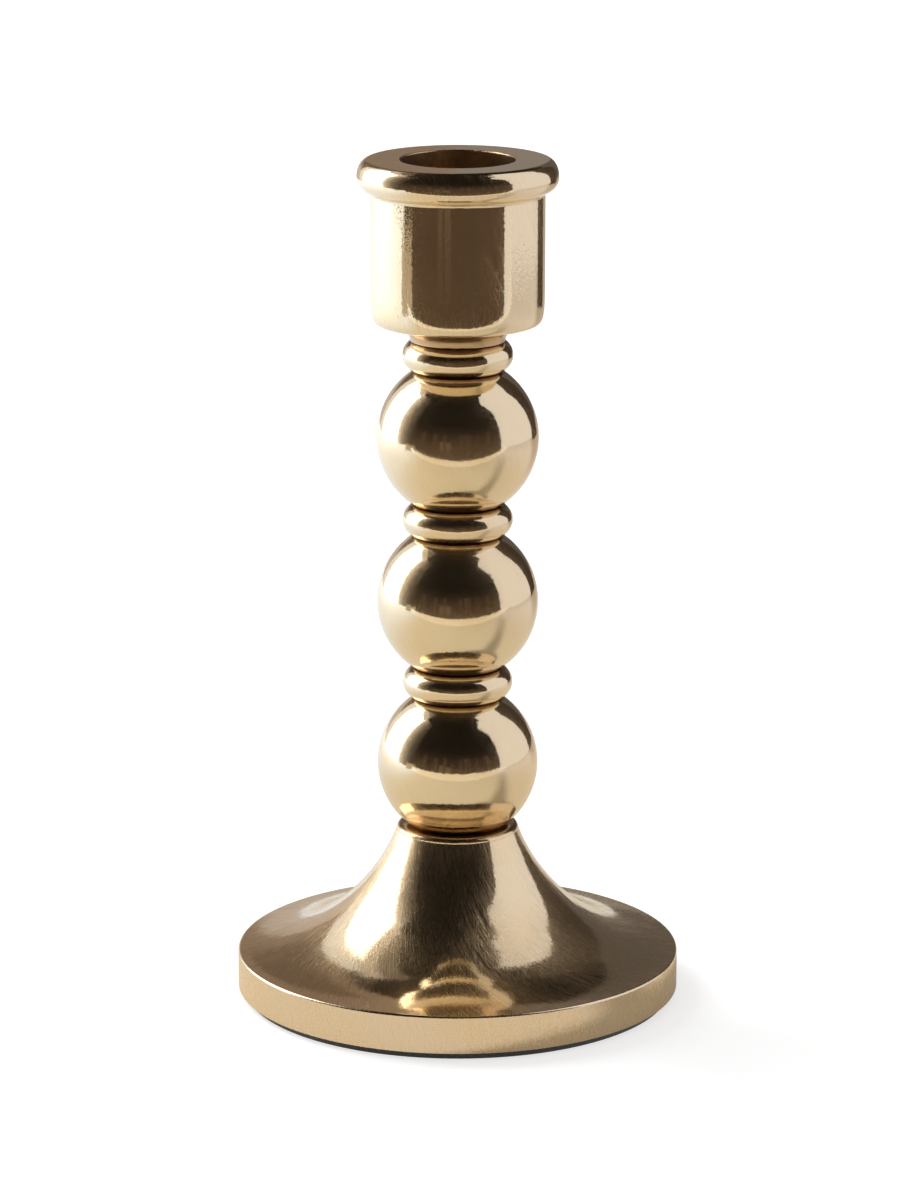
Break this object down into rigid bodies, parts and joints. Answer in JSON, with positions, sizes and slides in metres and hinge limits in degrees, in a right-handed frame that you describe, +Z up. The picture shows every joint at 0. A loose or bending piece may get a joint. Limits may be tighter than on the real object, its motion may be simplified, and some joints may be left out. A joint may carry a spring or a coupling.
{
  "type": "candlestick",
  "caption": "Turned brass candlestick: flared foot, stem of stacked balls and bead rings, straight candle cup with a rolled rim and a taper bore.",
  "frame": {"origin": "on the turning axis, at the surface that the felt pad stands on", "axes": "+Z up along the turning axis, out of the candle bore's mouth; +X to the right and +Y away from the viewer"},
  "size_m": [0.0872, 0.0872, 0.1666],
  "materials": {
    "polished_brass": "polished with fine hairline marks",
    "black_felt": "pressed wool felt",
    "plated_steel": "zinc plated"
  },
  "bodies": {
    "root": {"candle_cup": "polished_brass", "upper_ring": "polished_brass", "upper_ball": "polished_brass", "middle_ring": "polished_brass", "middle_ball": "polished_brass", "lower_ring": "polished_brass", "lower_ball": "polished_brass", "base": "polished_brass", "felt_pad": "black_felt", "tie_rod": "plated_steel", "base_washer": "plated_steel", "lock_washer": "plated_steel", "base_nut": "plated_steel"}
  },
  "joints": []
}
